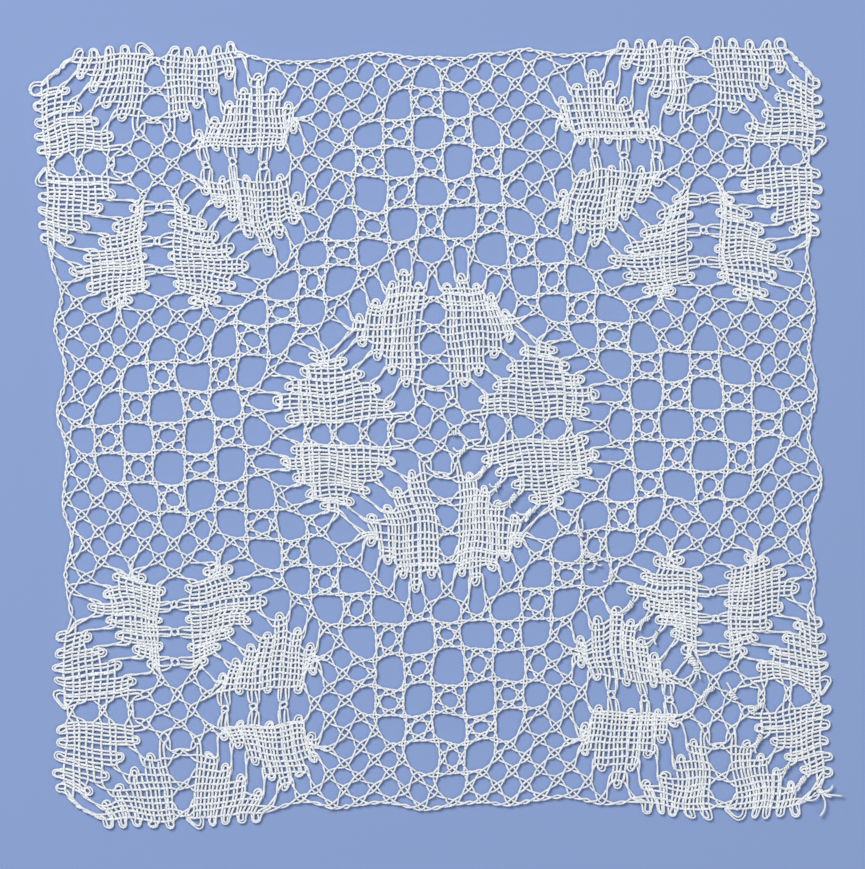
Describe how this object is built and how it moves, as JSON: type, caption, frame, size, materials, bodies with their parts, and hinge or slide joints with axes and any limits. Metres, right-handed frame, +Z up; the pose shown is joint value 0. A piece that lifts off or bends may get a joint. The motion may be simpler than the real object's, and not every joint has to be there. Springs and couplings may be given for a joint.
{
  "type": "bobbin lace mat",
  "caption": "Small square mat of white torchon bobbin lace, with cloth-stitch stars, a rose ground, looped corners and straight wavy edges, lying flat.",
  "frame": {"origin": "centre of the mat's box, on the surface that it lies on", "axes": "+Z up through the lace's face; +X and +Y along its straight edges, +Y towards the far edge"},
  "size_m": [0.1324, 0.132, 0.001],
  "materials": {
    "linen_thread": "matt two-ply bleached thread"
  },
  "bodies": {
    "root": {"lace_mat": "linen_thread"}
  },
  "joints": []
}
